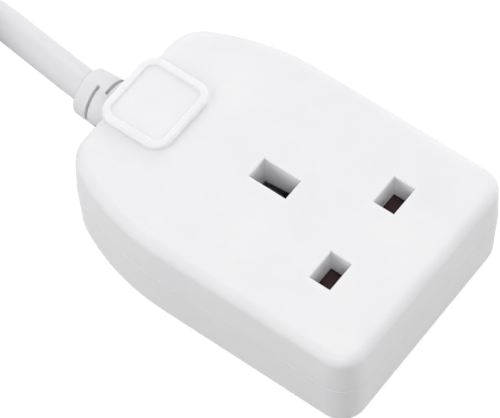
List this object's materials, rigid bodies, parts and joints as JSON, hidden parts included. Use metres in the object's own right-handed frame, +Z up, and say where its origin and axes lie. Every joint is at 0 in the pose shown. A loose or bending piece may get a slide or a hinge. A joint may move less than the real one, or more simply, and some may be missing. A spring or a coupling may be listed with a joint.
{
  "type": "trailing socket extension lead",
  "caption": "white three-pin trailing socket with shuttered holes, a raised plain tile and a round flex that is tied in a hank and ends in a moulded plug",
  "frame": {"origin": "middle of the housing's footprint, on the surface it stands on", "axes": "+Z up out of the socket face, +Y along the housing towards the flex, +X towards the line hole's side"},
  "size_m": [0.0847, 0.2737, 0.0704],
  "materials": {
    "housing_white": "satin moulded white",
    "shutter_maroon": "matt dark maroon moulding",
    "steel": "zinc plated",
    "brass": "bright stamped brass",
    "pin_brass": "drawn and polished brass",
    "clamp_plastic": "plain moulded",
    "core_brown": "soft insulation",
    "core_blue": "soft insulation",
    "core_green_yellow": "green and yellow soft insulation",
    "relief_white": "soft moulded, satin",
    "flex_white": "smooth soft sheath",
    "tie_black": "soft strap, matt",
    "plug_white": "satin moulded white",
    "sleeve_black": "matt black",
    "carrier_grey": "satin moulded",
    "fuse_ceramic": "unglazed ceramic",
    "fuse_metal": "nickel plated"
  },
  "bodies": {
    "housing": {"base": "housing_white", "case_screw_1": "steel", "case_screw_2": "steel", "case_screw_3": "steel", "case_screw_4": "steel", "clamp_screw_left": "steel", "clamp_screw_right": "steel", "cord_clamp": "clamp_plastic", "cord_hank": "flex_white", "cord_lead": "flex_white", "cord_sheath": "flex_white", "cord_tail": "flex_white", "cover": "housing_white", "earth_contact": "brass", "earth_core": "core_green_yellow", "earth_terminal_screw": "steel", "flex_tie": "tie_black", "fuse_barrel": "fuse_ceramic", "fuse_cap_front": "fuse_metal", "fuse_cap_rear": "fuse_metal", "fuse_carrier": "carrier_grey", "line_contact": "brass", "line_core": "core_brown", "line_terminal_screw": "steel", "neutral_contact": "brass", "neutral_core": "core_blue", "neutral_terminal_screw": "steel", "plug_body": "plug_white", "plug_earth_pin": "pin_brass", "plug_line_pin": "pin_brass", "plug_line_sleeve": "sleeve_black", "plug_neutral_pin": "pin_brass", "plug_neutral_sleeve": "sleeve_black", "plug_relief": "relief_white", "shutter_spring": "steel", "strain_relief": "relief_white"},
    "shutter_slider": {"shutter": "shutter_maroon"}
  },
  "joints": [
    {"name": "shutter_slide", "type": "slide", "parent": "housing", "child": "shutter_slider", "axis": [0, -1, 0], "range_m": [0, 0.0058], "stiffness_N_per_m": 120, "springref_m": -0.002, "deforming": ["shutter_spring"]}
  ]
}
